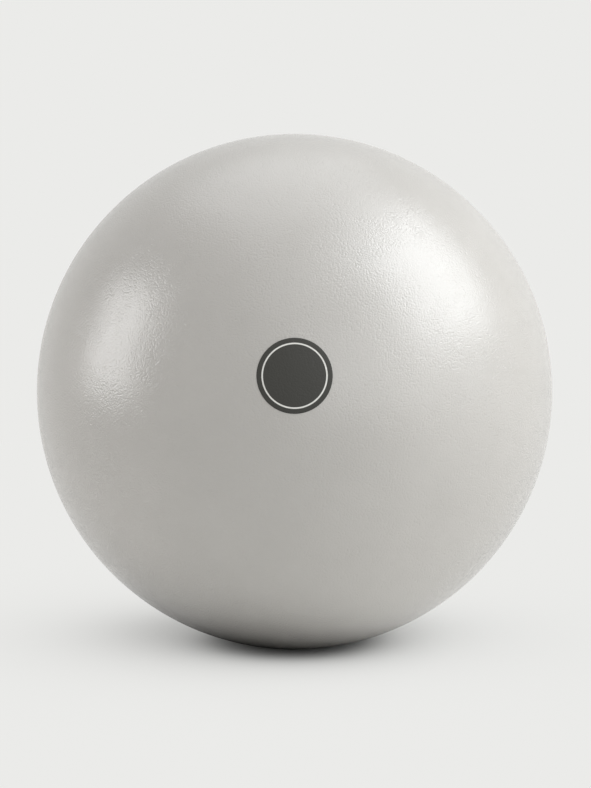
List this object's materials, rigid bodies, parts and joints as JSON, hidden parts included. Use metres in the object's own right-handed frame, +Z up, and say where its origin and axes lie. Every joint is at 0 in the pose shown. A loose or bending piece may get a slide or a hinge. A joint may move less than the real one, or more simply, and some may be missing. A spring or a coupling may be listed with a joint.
{
  "type": "pilates ball",
  "caption": "Soft inflatable exercise ball: a hollow grained skin standing on a small flat contact patch, a plain round badge in front and a push-in valve stopper behind.",
  "frame": {"origin": "on the floor, at the middle of the flat patch that the ball stands on", "axes": "+Z up; -Y is the front, where the badge is; +Y is the back, where the valve is; +X is to the right as seen from the front"},
  "size_m": [0.25, 0.2503, 0.2481],
  "materials": {
    "skin_pvc": "satin",
    "valve_pvc": "satin",
    "plug_polyethylene": "satin",
    "badge_ink": "matte"
  },
  "bodies": {
    "ball": {"ball_skin": "skin_pvc", "valve_seat": "valve_pvc", "badge_print": "badge_ink"},
    "plug": {"valve_plug": "plug_polyethylene"}
  },
  "joints": [
    {"name": "plug_pull", "type": "slide", "parent": "ball", "child": "plug", "axis": [0, 0.9903, -0.1392], "range_m": [0, 0.03]}
  ]
}
